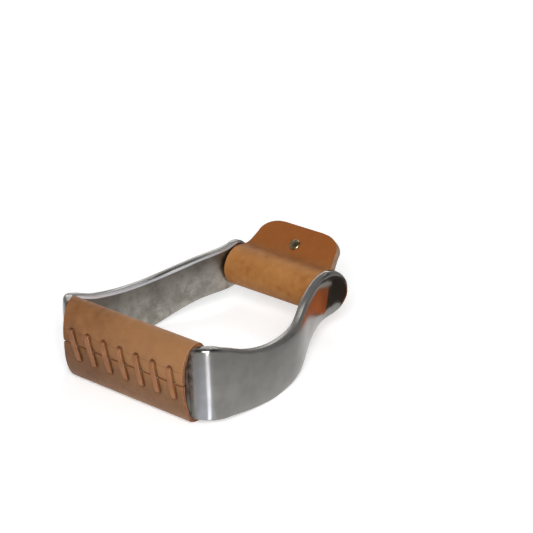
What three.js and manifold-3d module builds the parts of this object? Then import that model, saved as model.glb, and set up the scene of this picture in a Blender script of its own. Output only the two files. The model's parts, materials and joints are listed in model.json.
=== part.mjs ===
// A cast aluminium western stirrup with a laced leather tread cover and a leather wrap
// riveted round its neck bar. It lies on its side, as it is laid down when not in use.
// x runs across the tread, y from the tread to the neck, and z up from the floor.
// All lengths are in millimetres.

import * as THREE from 'three';
import { mergeVertices } from 'three/addons/utils/BufferGeometryUtils.js';
import Module from 'manifold-3d';

const wasm = await Module();
wasm.setup();

// Driving sizes of the casting
const castingRise = 165;          // from the line under the tread to the top of the heads
const treadSpan = 139.4;          // outside to outside of the arms at their widest
const neckSpan = 88.4;            // outside to outside at the neck
const armThickness = 5.9;
const bendThickness = 6.9;        // the arms are stouter where they leave the tread
const armEdgeRadius = 2.4;        // rounding of the arm's long edges
const armCrown = 0.7;             // bulge of the arm's polished outer face
const cornerRadius = 20.5;        // outside of the bend from the tread to an arm
const cornerInset = 1.7;          // how far the bend stays inside the widest span
const cornerLift = 5;             // how far the bend starts above the underside
const headRadius = 15.8;
const headHeight = 32.4;          // height of the heads' centres above the floor
const barDepth = 22;              // neck bar, measured up from the floor side
const barThickness = 15;          // neck bar, measured along y

// Driving sizes of the leather tread cover
const coverDepth = 55.6;          // outside to outside, up from the floor
const coverThickness = 18.2;      // outside to outside, along y
const coverLeather = 2.8;
const coverDrop = 0.8;            // how far the cover's underside lies below that line
const coverEndUnder = 4;          // how far the cover's ends pass the bends' centres underneath
const coverEndTop = 8.5;          // and how far they pass them on the foot side
const underCornerReach = 23;      // the cover's wide rounding towards its underside
const underCornerRise = 13;
const topCornerReach = 7;         // the tighter rounding towards the foot side
const seamRise = 2;               // the butt seam lies this far above the cover's middle
const seamGap = 0.6;
const coreRecess = 0.6;           // the core's ends lie this far inside the cover's ends

// Driving sizes of the lacing
const stitchCount = 7;
const stitchMargin = 7.15;        // from the cover's ends to the outermost holes
const stitchReach = 8.5;          // from the seam to a row of holes, along the leather
const firstSlant = 6.2;           // how far a stitch leans from its upper to its lower hole
const lastSlant = 3.4;            // the lean lessens along the row
const laceWidth = 4.3;
const laceThickness = 1.5;
const laceSink = 0.3;             // how far a stitch is pulled into the leather
const laceTail = 5;               // each end tucked under the cover

// Driving sizes of the neck wrap and its rivet
const wrapSideGap = 1.3;          // free room between the wrap and each head
const wrapLeather = 2.4;
const wrapReach = 38.7;           // bar's centre to the edge of the flaps
const wrapNarrowing = 3.2;        // how much each side draws in towards the flaps' corners
const wrapCornerReach = 17;       // the flaps' rounded corners, along their edge
const wrapCornerRise = 12;        // and along their sides
const wrapLiftDegrees = 40;       // how far the flaps point up from the casting's plane
const rivetReach = 24.9;
const rivetHeadRadius = 4;
const rivetHeadRise = 1.3;
const rivetTubeRadius = 2.1;
const rivetShankRadius = 1.2;

// Fits shared by several pieces
const fitGap = 0.3;               // between pieces that touch
const wrapPlay = 0.35;            // between the neck bar and the leather round it
const pliesGap = 0.3;             // between the two flaps
const cutOverrun = 2;             // how far a cutting tool runs past what it cuts
const wholeTurn = 2 * Math.PI;
const quarterTurn = Math.PI / 2;

// Colours and finishes
const polishedAluminium = new THREE.MeshStandardMaterial({ color: 0xb9babc, roughness: 0.18, metalness: 1 });
const tanLeather = new THREE.MeshStandardMaterial({ color: 0xa86a35, roughness: 0.55, metalness: 0 });
const laceLeather = new THREE.MeshStandardMaterial({ color: 0xb37a45, roughness: 0.6, metalness: 0 });
const nickelSteel = new THREE.MeshStandardMaterial({ color: 0x9c9a92, roughness: 0.25, metalness: 1 });

// Solids: three.js shapes turned into closed bodies, and back

function solidFromGeometry(geometry) {
  const plain = geometry.clone();
  plain.deleteAttribute('normal');
  plain.deleteAttribute('uv');
  const merged = mergeVertices(plain, fitGap / 1000);
  const mesh = new wasm.Mesh({
    numProp: 3,
    vertProperties: Float32Array.from(merged.attributes.position.array),
    triVerts: Uint32Array.from(merged.index.array),
  });
  mesh.merge();
  return new wasm.Manifold(mesh);
}

function geometryFromSolid(solid) {
  const mesh = solid.getMesh();
  const geometry = new THREE.BufferGeometry();
  geometry.setAttribute('position', new THREE.BufferAttribute(Float32Array.from(mesh.vertProperties), 3));
  geometry.setIndex(new THREE.BufferAttribute(Uint32Array.from(mesh.triVerts), 1));
  geometry.computeVertexNormals();
  return geometry;
}

// Join rings of points into a closed tube. Every ring has the same number of points,
// in order round the tube, and the two end rings are closed by fans about their middles.
function loftRings(rings) {
  const around = rings[0].length;
  const points = rings.flat();
  const faces = [];
  for (let ring = 0; ring + 1 < rings.length; ring += 1) {
    for (let i = 0; i < around; i += 1) {
      const next = (i + 1) % around;
      const a = ring * around + i;
      const b = ring * around + next;
      faces.push(a, b, b + around, a, b + around, a + around);
    }
  }
  for (const [ring, isFirst] of [[0, true], [rings.length - 1, false]]) {
    const middle = new THREE.Vector3();
    rings[ring].forEach((point) => middle.addScaledVector(point, 1 / around));
    const hub = points.push(middle) - 1;
    for (let i = 0; i < around; i += 1) {
      const a = ring * around + i;
      const b = ring * around + ((i + 1) % around);
      faces.push(hub, ...(isFirst ? [b, a] : [a, b]));
    }
  }
  const geometry = new THREE.BufferGeometry().setFromPoints(points);
  geometry.setIndex(faces);
  const solid = solidFromGeometry(geometry);
  if (solid.volume() > 0) return solid;
  const flipped = geometry.clone();
  flipped.setIndex([...faces].reverse());
  return solidFromGeometry(flipped);
}

// Extrude an outline drawn in y and z along x, centred on x = 0
function extrudeAcross(outline, width, curveSteps) {
  const settings = { depth: width, bevelEnabled: false, curveSegments: curveSteps };
  const geometry = new THREE.ExtrudeGeometry(outline, settings);
  const turn = new THREE.Matrix4().makeBasis(
    new THREE.Vector3(0, 1, 0),
    new THREE.Vector3(0, 0, 1),
    new THREE.Vector3(1, 0, 0),
  );
  geometry.applyMatrix4(turn);
  geometry.translate(-width / 2, 0, 0);
  return solidFromGeometry(geometry);
}

// Extrude an outline drawn in x and y upwards along z
function extrudeUp(outline, low, high, curveSteps) {
  const settings = { depth: high - low, bevelEnabled: false, curveSegments: curveSteps };
  const geometry = new THREE.ExtrudeGeometry(outline, settings);
  geometry.translate(0, 0, low);
  return solidFromGeometry(geometry);
}

// A smooth curve through rows of [place, value], read at any place
function readTable(rows, place) {
  const last = rows.length - 1;
  let row = 0;
  while (row < last - 1 && place > rows[row + 1][0]) row += 1;
  const slopeAt = (i) => {
    const before = rows[Math.max(i - 1, 0)];
    const after = rows[Math.min(i + 1, last)];
    return (after[1] - before[1]) / (after[0] - before[0]);
  };
  const [startPlace, startValue] = rows[row];
  const [endPlace, endValue] = rows[row + 1];
  const span = endPlace - startPlace;
  const t = Math.min(Math.max((place - startPlace) / span, 0), 1);
  const curve = new THREE.CubicBezierCurve(
    new THREE.Vector2(0, startValue),
    new THREE.Vector2(1 / 3, startValue + slopeAt(row) * span / 3),
    new THREE.Vector2(2 / 3, endValue - slopeAt(row + 1) * span / 3),
    new THREE.Vector2(1, endValue),
  );
  return curve.getPoint(t).y;
}

// The casting's arms

const headCentreRise = castingRise - headRadius;
const treadHalf = treadSpan / 2;
const neckHalf = neckSpan / 2;
const cornerCentreX = treadHalf - cornerInset - cornerRadius;
const coverHalfLengthUnder = cornerCentreX + coverEndUnder;
const coverHalfLengthTop = cornerCentreX + coverEndTop;

// The arm's outer line above the bend: how far up it is, and how far out between neck and tread
const armOutlineShares = [
  [0.28, 1], [0.42, 0.96], [0.57, 0.77], [0.715, 0.345], [0.85, 0.02], [0.905, 0], [1, 0.09],
];

// The arm seen from the side: how far up it is, and its lower and upper edges
// as shares of the cover's depth. Both edges bow towards the floor at the arm's middle.
const armSideShares = [
  [0, 0.1, 0.955], [0.042, 0.088, 0.96], [0.085, 0.074, 0.96], [0.145, 0.063, 0.903],
  [0.258, 0.027, 0.763], [0.404, 0, 0.678], [0.56, 0.05, 0.682], [0.732, 0.243, 0.797],
];
const headEdges = [headCentreRise, headHeight - headRadius, headHeight + headRadius];
const armEdges = [...armSideShares.map(([up, low, high]) => [
  up * castingRise, low * coverDepth, high * coverDepth,
]), headEdges];
const lowerEdge = armEdges.map(([up, low]) => [up, low]);
const upperEdge = armEdges.map(([up, , high]) => [up, high]);

const thicknessTable = [
  [0, bendThickness], [cornerLift + cornerRadius, bendThickness], [castingRise / 3, armThickness],
  [castingRise, armThickness],
];

const bendSteps = 8;
const armSteps = 24;
const headStepDegrees = [15, 30, 42, 52, 60, 67, 73, 78, 83, 87];
const edgeArcSteps = 3;
const edgeRadiusLimitShare = 0.82;
const crownPointShares = [-0.55, 0, 0.55];

// The outer line of one arm, from the bend under the tread to the top of the head
const armOuterLine = new THREE.CatmullRomCurve3([
  ...Array.from({ length: bendSteps + 1 }, (_, i) => {
    const turn = quarterTurn * i / bendSteps;
    return new THREE.Vector3(
      cornerCentreX + cornerRadius * Math.sin(turn),
      cornerLift + cornerRadius * (1 - Math.cos(turn)),
      0,
    );
  }),
  ...armOutlineShares.map(([up, out]) => new THREE.Vector3(
    THREE.MathUtils.lerp(neckHalf, treadHalf, out),
    up * castingRise,
    0,
  )),
]);
armOuterLine.arcLengthDivisions = 800;

// The place along the outer line that lies at a given height above the tread's underside
function placeAtRise(up) {
  let low = 0;
  let high = 1;
  for (let i = 0; i < 40; i += 1) {
    const middle = (low + high) / 2;
    if (armOuterLine.getPointAt(middle).y < up) low = middle;
    else high = middle;
  }
  return (low + high) / 2;
}

// One ring round the arm: a rectangle with rounded edges and a crowned outer face
function armRing(place, low, high, fullThickness, thicknessHere) {
  const outer = armOuterLine.getPointAt(place);
  const along = armOuterLine.getTangentAt(place);
  const out = new THREE.Vector3(along.y, -along.x, 0);
  const middle = outer.clone().addScaledVector(out, -fullThickness / 2);
  const halfThickness = thicknessHere / 2;
  const halfDepth = (high - low) / 2;
  const radius = Math.min(armEdgeRadius, Math.min(halfThickness, halfDepth) * edgeRadiusLimitShare);
  const ring = [];
  const add = (outward, up) => {
    const bulge = armCrown * (1 - (up / halfDepth) ** 2) * (thicknessHere / fullThickness);
    const crown = outward > 0 ? bulge : 0;
    ring.push(middle.clone().addScaledVector(out, outward + crown).setZ((low + high) / 2 + up));
  };
  const corners = [[1, 1], [-1, 1], [-1, -1], [1, -1]];
  corners.forEach(([side, end], corner) => {
    for (let i = 0; i <= edgeArcSteps; i += 1) {
      const turn = (corner + i / edgeArcSteps) * quarterTurn;
      add(
        side * (halfThickness - radius) + radius * Math.cos(turn),
        end * (halfDepth - radius) + radius * Math.sin(turn),
      );
    }
    if (corner === 3) {
      for (const share of crownPointShares) add(halfThickness, share * (halfDepth - radius));
    }
  });
  return ring;
}

function rightArm() {
  const rings = [];
  const headStart = placeAtRise(headCentreRise);
  for (let i = 0; i <= bendSteps + armSteps; i += 1) {
    const place = headStart * i / (bendSteps + armSteps);
    const up = armOuterLine.getPointAt(place).y;
    const thickness = readTable(thicknessTable, up);
    rings.push(armRing(place, readTable(lowerEdge, up), readTable(upperEdge, up), thickness, thickness));
  }
  for (const degrees of headStepDegrees) {
    const turn = THREE.MathUtils.degToRad(degrees);
    const up = headCentreRise + headRadius * Math.sin(turn);
    const half = headRadius * Math.cos(turn);
    const toTop = Math.min(castingRise - up, armEdgeRadius);
    const rounding = armEdgeRadius - Math.sqrt(armEdgeRadius ** 2 - (armEdgeRadius - toTop) ** 2);
    rings.push(armRing(
      placeAtRise(up), headHeight - half, headHeight + half, armThickness, armThickness - 2 * rounding,
    ));
  }
  return loftRings(rings);
}

// The cover's outline, drawn as y against z, from the seam down round the floor side,
// over the foot side and back to the seam from above. An inset gives the outlines within it.

const coverMiddle = coverDepth / 2;
const seamHeight = coverMiddle + seamRise;
const topCornerRise = coverThickness - underCornerRise;

function coverOutline(inset, closed) {
  const under = inset - coverDrop;
  const top = coverThickness - coverDrop - inset;
  const low = inset;
  const high = coverDepth - inset;
  const line = closed ? new THREE.Shape() : new THREE.Path();
  line.moveTo(under, seamHeight);
  line.lineTo(under, underCornerReach);
  const widest = underCornerRise - coverDrop;
  line.absellipse(widest, underCornerReach, underCornerRise - inset, underCornerReach - inset,
    Math.PI, wholeTurn - quarterTurn, false, 0);
  line.absellipse(widest, topCornerReach, topCornerRise - inset, topCornerReach - inset,
    wholeTurn - quarterTurn, wholeTurn, false, 0);
  line.lineTo(top, coverDepth - topCornerReach);
  line.absellipse(widest, coverDepth - topCornerReach, topCornerRise - inset, topCornerReach - inset,
    0, quarterTurn, false, 0);
  line.absellipse(widest, coverDepth - underCornerReach, underCornerRise - inset, underCornerReach - inset,
    quarterTurn, Math.PI, false, 0);
  line.lineTo(under, seamHeight);
  return line;
}
const outlineSteps = 10;

// The metal core inside the tread, rounded like the cover
function treadCore() {
  return extrudeAcross(coverOutline(coverLeather + fitGap, true), treadSpan, outlineSteps);
}

// The oval bar between the heads, which the leather wraps and the saddle's strap hangs on
function neckBar() {
  const radius = barThickness / 2;
  const straight = (barDepth - barThickness) / 2;
  const section = new THREE.Shape();
  section.absarc(headCentreRise, headHeight + straight, radius, 0, Math.PI, false);
  section.absarc(headCentreRise, headHeight - straight, radius, Math.PI, wholeTurn, false);
  return extrudeAcross(section, neckSpan - armThickness, outlineSteps);
}

// The room the cover takes along x, its ends slanting with the bends of the arms
function coverRoom(clearance) {
  const under = -coverDrop - cutOverrun;
  const top = coverThickness + cutOverrun;
  const outline = new THREE.Shape();
  outline.moveTo(-coverHalfLengthUnder - clearance, under);
  outline.lineTo(coverHalfLengthUnder + clearance, under);
  outline.lineTo(coverHalfLengthTop + clearance, top);
  outline.lineTo(-coverHalfLengthTop - clearance, top);
  return extrudeUp(outline, -cutOverrun, coverDepth + cutOverrun, 1);
}

// The arms leave the core's ends through the mouths of the cover
function castFrame() {
  const right = rightArm();
  const arms = right.add(right.mirror([1, 0, 0]));
  return arms
    .subtract(coverRoom(fitGap))
    .add(arms.intersect(treadCore()))
    .add(treadCore().intersect(coverRoom(-coreRecess)))
    .add(neckBar());
}

// The lace: one flat thong that runs slantwise over the seam, dives through the leather
// and comes back under it to the next stitch. Its two ends are tucked under the cover.

const coverLine = coverOutline(0, false);
const coverLineLength = coverLine.getLength();

// A point on the cover at a distance above the seam along the leather, sunk into it by a depth
function onCover(x, aboveSeam, sunk) {
  const share = aboveSeam > 0 ? 1 - aboveSeam / coverLineLength : -aboveSeam / coverLineLength;
  const at = coverLine.getPointAt(share);
  const along = coverLine.getTangentAt(share);
  return new THREE.Vector3(x, at.x + along.y * -sunk, at.y - along.x * -sunk);
}

const overRunSunk = laceSink - laceThickness / 2;
const underRunSunk = coverLeather - laceThickness / 2;
const turnRadius = (underRunSunk - overRunSunk) / 2;
const turnSteps = 4;
const runSteps = 4;

// The places where the thong turns, as pairs of x and the distance above the seam:
// its tucked end, the upper and lower hole of every stitch, and its other tucked end
function laceStops() {
  const lastX = coverHalfLengthUnder - stitchMargin;
  const firstX = -lastX;
  const holes = Array.from({ length: stitchCount }, (_, stitch) => {
    const along = stitch / (stitchCount - 1);
    return [
      new THREE.Vector2(THREE.MathUtils.lerp(firstX, lastX - lastSlant, along), stitchReach),
      new THREE.Vector2(THREE.MathUtils.lerp(firstX + firstSlant, lastX, along), -stitchReach),
    ];
  });
  return [new THREE.Vector2(firstX - laceTail, 0), ...holes.flat(), new THREE.Vector2(lastX + laceTail, 0)];
}

function laceMiddleLine() {
  const stops = laceStops();
  const points = [];
  for (let run = 0; run + 1 < stops.length; run += 1) {
    const [from, to, after] = stops.slice(run, run + 3);
    const isOver = run % 2 === 1;
    const sunk = isOver ? overRunSunk : underRunSunk;
    for (let i = 0; i <= runSteps; i += 1) {
      const at = from.clone().lerp(to, i / runSteps);
      points.push(onCover(at.x, at.y, sunk));
    }
    if (!after) break;
    const back = from.clone().sub(to).normalize();
    const ahead = after.clone().sub(to).normalize();
    for (let i = 1; i < turnSteps; i += 1) {
      const angle = Math.PI * i / turnSteps;
      const inward = back.clone().lerp(ahead, i / turnSteps).normalize();
      const at = to.clone().addScaledVector(inward, -turnRadius * Math.sin(angle));
      const deeper = turnRadius * (1 - Math.cos(angle));
      points.push(onCover(at.x, at.y, isOver ? sunk + deeper : sunk - deeper));
    }
  }
  return points;
}

// The thong's flat section at every point of the line, its width kept as near x as it can be
function laceRings(extra) {
  const line = laceMiddleLine();
  const halfWidth = laceWidth / 2 + extra;
  const halfThickness = laceThickness / 2 + extra;
  const edge = halfThickness * laceEdgeShare;
  return line.map((point, i) => {
    const before = line[Math.max(i - 1, 0)];
    const after = line[Math.min(i + 1, line.length - 1)];
    const along = after.clone().sub(before).normalize();
    const wide = new THREE.Vector3(1, 0, 0);
    wide.addScaledVector(along, -wide.dot(along)).normalize();
    const thick = along.clone().cross(wide);
    const isEnd = i === 0 || i === line.length - 1;
    const centre = point.clone().addScaledVector(along, isEnd ? extra * Math.sign(i - 1) : 0);
    const quarter = [[halfWidth, edge], [halfWidth - edge, halfThickness]];
    const half = [...quarter, ...quarter.map(([across, through]) => [-across, through]).reverse()];
    const outline = [...half, ...half.map(([across, through]) => [-across, -through])];
    return outline.map(([across, through]) => centre.clone()
      .addScaledVector(wide, across)
      .addScaledVector(thick, through));
  });
}

// The room the thong takes in the leather: its slots, its grooves and the dents of its stitches
function laceRoom() {
  const rings = laceRings(fitGap);
  const links = rings.slice(1).map((ring, i) => wasm.Manifold.hull(
    [...rings[i], ...ring].map((point) => point.toArray()),
  ));
  return wasm.Manifold.union(links);
}
const laceEdgeShare = 0.5;

// The tread cover: one piece of leather wrapped round the plate and butted at the seam,
// with its ends cut to follow the bends, and slots and grooves pressed by the lace

function treadCover() {
  const outside = extrudeAcross(coverOutline(0, true), treadSpan, outlineSteps);
  const inside = extrudeAcross(coverOutline(coverLeather, true), treadSpan + cutOverrun, outlineSteps);
  const under = -coverDrop - cutOverrun;
  const slit = new THREE.Shape();
  slit.moveTo(under, seamHeight - seamGap / 2);
  slit.lineTo(coverLeather + fitGap, seamHeight - seamGap / 2);
  slit.lineTo(coverLeather + fitGap, seamHeight + seamGap / 2);
  slit.lineTo(under, seamHeight + seamGap / 2);
  const cut = outside
    .subtract(inside)
    .intersect(coverRoom(0))
    .subtract(extrudeAcross(slit, treadSpan, 1))
    .subtract(laceRoom());
  // Crumbs that the cutting leaves between two grooves fall away
  return cut.decompose().reduce((best, piece) => (piece.volume() > best.volume() ? piece : best));
}

// The neck wrap: a strap bent round the bar, drawn with the flaps pointing along its own v,
// and turned up afterwards about the bar's centre

const wrapWidth = neckSpan - 2 * (armThickness + wrapSideGap);
const wrapInnerRadius = barDepth / 2 + wrapPlay;
const wrapMiddleRadius = wrapInnerRadius + wrapLeather / 2;
const wrapOuterRadius = wrapInnerRadius + wrapLeather;
const wrapMeetReach = rivetReach - rivetHeadRadius;
const flapOffset = (wrapLeather + pliesGap) / 2;
const wrapLeaveDegrees = 40;      // where the leather leaves the bar, up from square to the flaps
const wrapLeavePullShare = 0.55;  // how long the bend's two ends stay straight
const wrapMeetPullShare = 0.65;
const wrapArcSteps = 14;
const wrapBendSteps = 7;

// The middle of the leather on one side, from where it leaves the bar to where the flaps meet
function wrapSideCurve(side) {
  const leave = THREE.MathUtils.degToRad(wrapLeaveDegrees);
  const outward = new THREE.Vector2(side * Math.cos(leave), Math.sin(leave));
  const start = outward.clone().multiplyScalar(wrapMiddleRadius);
  const end = new THREE.Vector2(side * flapOffset, wrapMeetReach);
  const leavePull = wrapMiddleRadius * wrapLeavePullShare;
  const meetPull = wrapMiddleRadius * wrapMeetPullShare;
  return new THREE.CubicBezierCurve(
    start,
    start.clone().addScaledVector(new THREE.Vector2(-side * outward.y, side * outward.x), leavePull),
    end.clone().sub(new THREE.Vector2(0, meetPull)),
    end,
  );
}

function wrapSection() {
  const leave = THREE.MathUtils.degToRad(wrapLeaveDegrees);
  const rising = wrapSideCurve(1).getPoints(wrapBendSteps);
  const arc = Array.from({ length: wrapArcSteps - 1 }, (_, i) => {
    const turn = leave - (Math.PI + 2 * leave) * (i + 1) / wrapArcSteps;
    return new THREE.Vector2(wrapMiddleRadius * Math.cos(turn), wrapMiddleRadius * Math.sin(turn));
  });
  const line = [
    new THREE.Vector2(flapOffset, wrapReach + cutOverrun),
    ...rising.reverse(),
    ...arc,
    ...wrapSideCurve(-1).getPoints(wrapBendSteps),
    new THREE.Vector2(-flapOffset, wrapReach + cutOverrun),
  ];
  const shifted = (by) => line.map((point, i) => {
    const before = line[Math.max(i - 1, 0)];
    const after = line[Math.min(i + 1, line.length - 1)];
    const along = after.clone().sub(before).normalize();
    return new THREE.Vector2(point.x + along.y * by, point.y - along.x * by);
  });
  return new THREE.Shape([...shifted(-wrapLeather / 2), ...shifted(wrapLeather / 2).reverse()]);
}

// The strap seen flat: full width round the bar, tapering to round-cornered flaps
function wrapOutline() {
  const half = wrapWidth / 2;
  const flapHalf = half - wrapNarrowing;
  const shoulder = wrapReach - wrapCornerRise;
  const cornerCentre = flapHalf - wrapCornerReach;
  const outline = new THREE.Shape();
  outline.moveTo(-half, -wrapReach);
  outline.lineTo(half, -wrapReach);
  outline.lineTo(half, wrapOuterRadius);
  outline.lineTo(flapHalf, shoulder);
  for (const [side, start] of [[1, 0], [-1, quarterTurn]]) {
    outline.absellipse(side * cornerCentre, shoulder, wrapCornerReach, wrapCornerRise,
      start, start + quarterTurn, false, 0);
  }
  outline.lineTo(-half, wrapOuterRadius);
  return outline;
}

// Place a solid drawn about the bar's centre, with the flaps along +y, at the neck
function turnedToNeck(solid) {
  return solid
    .rotate([wrapLiftDegrees, 0, 0])
    .translate([0, headCentreRise, headHeight]);
}

function neckWrap() {
  const geometry = new THREE.ExtrudeGeometry(wrapSection(), { depth: wrapWidth, bevelEnabled: false });
  const turn = new THREE.Matrix4().makeBasis(
    new THREE.Vector3(0, 0, -1),
    new THREE.Vector3(0, 1, 0),
    new THREE.Vector3(1, 0, 0),
  );
  geometry.applyMatrix4(turn);
  geometry.translate(-wrapWidth / 2, 0, 0);
  const rivetHole = new THREE.CylinderGeometry(
    rivetTubeRadius + fitGap, rivetTubeRadius + fitGap, wrapReach, rivetSides,
  );
  rivetHole.rotateX(quarterTurn);
  rivetHole.translate(0, rivetReach, 0);
  const strap = solidFromGeometry(geometry)
    .intersect(extrudeUp(wrapOutline(), -wrapReach, wrapReach, outlineSteps))
    .subtract(solidFromGeometry(rivetHole));
  return turnedToNeck(strap);
}

// The rivet: a post with a domed head below, and a tube with a domed head pressed on from above

const rivetSides = 24;
const flapFace = flapOffset + wrapLeather / 2;
const headBase = flapFace + fitGap;
const domeSteps = 6;

// The profile of a domed head, from its rim on the leather side to the axis
function domeProfile(base) {
  return Array.from({ length: domeSteps + 1 }, (_, i) => {
    const turn = quarterTurn * i / domeSteps;
    return new THREE.Vector2(rivetHeadRadius * Math.cos(turn), base + rivetHeadRise * Math.sin(turn));
  });
}

function rivetFromProfile(points, facesUp) {
  const geometry = new THREE.LatheGeometry(points, rivetSides);
  geometry.rotateX(facesUp ? quarterTurn : -quarterTurn);
  geometry.translate(0, rivetReach, 0);
  const solid = solidFromGeometry(geometry);
  return turnedToNeck(solid);
}

// The post: its shank reaches up into the tube of the cap
function rivetPost() {
  const shankEnd = -(headBase - fitGap);
  return rivetFromProfile([
    new THREE.Vector2(0, shankEnd),
    new THREE.Vector2(rivetShankRadius, shankEnd),
    new THREE.Vector2(rivetShankRadius, headBase),
    ...domeProfile(headBase).slice(0, -1),
    new THREE.Vector2(0, headBase + rivetHeadRise),
  ], false);
}

// The cap: its tube passes both flaps and takes the post's shank
function rivetCap() {
  const tubeEnd = -(headBase - fitGap);
  const bore = rivetShankRadius + fitGap;
  const boreEnd = headBase;
  return rivetFromProfile([
    new THREE.Vector2(0, boreEnd),
    new THREE.Vector2(bore, boreEnd),
    new THREE.Vector2(bore, tubeEnd),
    new THREE.Vector2(rivetTubeRadius, tubeEnd),
    new THREE.Vector2(rivetTubeRadius, headBase),
    ...domeProfile(headBase).slice(0, -1),
    new THREE.Vector2(0, headBase + rivetHeadRise),
  ], true);
}

// Assembly

function pieceMesh(name, solid, material) {
  const mesh = new THREE.Mesh(geometryFromSolid(solid), material);
  mesh.name = name;
  return mesh;
}

const neckWrapGroup = new THREE.Group();
neckWrapGroup.add(
  pieceMesh('neck_wrap', neckWrap(), tanLeather),
  pieceMesh('rivet_post', rivetPost(), nickelSteel),
  pieceMesh('rivet_cap', rivetCap(), nickelSteel),
);

const stirrup = new THREE.Group();
stirrup.add(
  pieceMesh('cast_frame', castFrame(), polishedAluminium),
  pieceMesh('tread_cover', treadCover(), tanLeather),
  pieceMesh('tread_lace', loftRings(laceRings(0)), laceLeather),
  neckWrapGroup,
);

// Stand the whole on the floor with its middle over the origin
const bounds = new THREE.Box3().setFromObject(stirrup, true);
const middle = bounds.getCenter(new THREE.Vector3());
stirrup.position.set(-middle.x, -middle.y, -bounds.min.z);

export default stirrup;
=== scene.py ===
# %% [markdown]
# # A cast aluminium stirrup with laced leather
# This stirrup is one casting. Its foot bar is sleeved in leather that is laced shut underneath,
# and a second piece of leather is wrapped round its neck bar and riveted to itself. The packed
# CAD model gives every piece its place, so this lesson only gives the pieces their finish:
# smooth polished metal, leather that bends and creases, and a thong that dives through it.

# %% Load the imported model
import json
from math import copysign, cos, exp, hypot, pi, radians, sin, sqrt

import bmesh
import bpy
from mathutils import Matrix, Vector


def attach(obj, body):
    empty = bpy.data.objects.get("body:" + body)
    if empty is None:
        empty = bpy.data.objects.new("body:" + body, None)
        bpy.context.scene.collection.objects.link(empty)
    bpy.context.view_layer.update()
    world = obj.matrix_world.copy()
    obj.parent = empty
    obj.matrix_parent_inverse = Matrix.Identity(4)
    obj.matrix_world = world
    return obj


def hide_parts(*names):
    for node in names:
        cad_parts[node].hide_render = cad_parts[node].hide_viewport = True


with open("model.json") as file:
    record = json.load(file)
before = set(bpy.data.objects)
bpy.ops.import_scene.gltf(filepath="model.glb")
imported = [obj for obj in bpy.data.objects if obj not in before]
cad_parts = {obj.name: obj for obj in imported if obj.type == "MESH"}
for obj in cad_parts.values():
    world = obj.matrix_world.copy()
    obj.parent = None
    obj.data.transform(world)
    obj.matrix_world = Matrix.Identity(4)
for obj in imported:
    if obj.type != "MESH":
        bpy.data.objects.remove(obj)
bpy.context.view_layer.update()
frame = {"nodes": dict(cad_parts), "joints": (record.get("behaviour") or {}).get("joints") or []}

print("nodes:", sorted(frame["nodes"]))

# %% [markdown]
# ## Sizes
# The pieces are drawn as the maker would measure them: across the tread, up the casting from its
# underside, and up from the floor it lies on, all in millimetres. One helper turns such a
# measurement into a place in the scene, so no later cell has to think about metres.

# %% Sizes shared by the pieces
mm = 0.001
quarter_turn, full_turn = pi / 2, 2 * pi

casting_rise = 165
tread_half = 139.4 / 2
neck_half = 88.4 / 2
arm_thickness = 5.9
head_radius = 15.8
head_height = 32.4
head_centre_rise = casting_rise - head_radius
corner_radius = 20.5
corner_inset = 1.7
corner_centre_x = tread_half - corner_inset - corner_radius
corner_lift = 5
cover_depth = 55.6
cover_thickness = 18.2
cover_leather = 2.8
cover_drop = 0.8
seam_above_middle = 2
seam_height = cover_depth / 2 + seam_above_middle
fit_gap = 0.3

neck_bar = Vector(frame["joints"][0]["pos_m"])
rise_at_origin = head_centre_rise - neck_bar.y / mm


def place(x, rise, height):
    """The scene's point for a measured one."""
    return Vector((x, rise - rise_at_origin, height)) * mm


print("rise that lies over the origin:", round(rise_at_origin, 3), "mm")

# %% [markdown]
# ## The camera
# The photograph looks down on the stirrup from the front right with a long lens. Its place was
# worked out from the stirrup's own outline. A camera looks along its own minus z, so its matrix
# is written straight from the three directions it has in the scene.

# %% Camera
scene = bpy.context.scene


def add_object(name, data):
    """An object that shows its data in the scene."""
    added = bpy.data.objects.new(name, data)
    scene.collection.objects.link(added)
    return added


camera_data = bpy.data.cameras.new("photo_camera")
camera = add_object("photo_camera", camera_data)
camera_right = Vector((0.75377, 0.65622, -0.03478))
camera_up = Vector((-0.25039, 0.33573, 0.90807))
camera_back = Vector((0.60757, -0.67577, 0.41737))
turn = Matrix((camera_right, camera_up, camera_back)).transposed().to_4x4()
camera_place = Vector((0.79562, -0.83696, 0.59160))
camera.matrix_world = Matrix.Translation(camera_place) @ turn
camera_data.sensor_width = 36
camera_data.lens = 133.2
scene.camera = camera
print("camera distance:", round(camera.location.length, 3), "m")

# %% [markdown]
# ## Finishes: two node groups that several materials share
# Hide has pores and fine creases that lie close together, and its dye never takes evenly. Both
# are patterns in space, so they read Object coordinates and fit any leather piece. A node group
# keeps each pattern in one place, and a material only says how strong and how large it is.

# %% Helpers for node groups and materials


def new_group(name, inputs, outputs):
    """A shader node group with named sockets: each is a name and a kind of value."""
    group = bpy.data.node_groups.new(name, "ShaderNodeTree")
    for direction, sockets in (("INPUT", inputs), ("OUTPUT", outputs)):
        for socket, kind in sockets:
            group.interface.new_socket(socket, in_out=direction, socket_type="NodeSocket" + kind)
    return group, group.nodes.new("NodeGroupInput").outputs, group.nodes.new("NodeGroupOutput").inputs


def linear(colour):
    """A colour written as 0 to 255, as the linear values that Blender's sockets take."""
    shares = [channel / 255 for channel in colour]
    return [s / 12.92 if s <= 0.04045 else ((s + 0.055) / 1.055) ** 2.4 for s in shares]


def set_inputs(node, **inputs):
    """Give a node's inputs values, or link them to other nodes' outputs."""
    for name, value in inputs.items():
        key = int(name[3:]) if name.startswith("at_") else name.replace("_", " ")
        socket = node.inputs[key]
        if isinstance(value, bpy.types.NodeSocket):
            node.id_data.links.new(value, socket)
        elif socket.type == "RGBA":
            socket.default_value = (*linear(value), 1)
        else:
            socket.default_value = value


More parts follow.
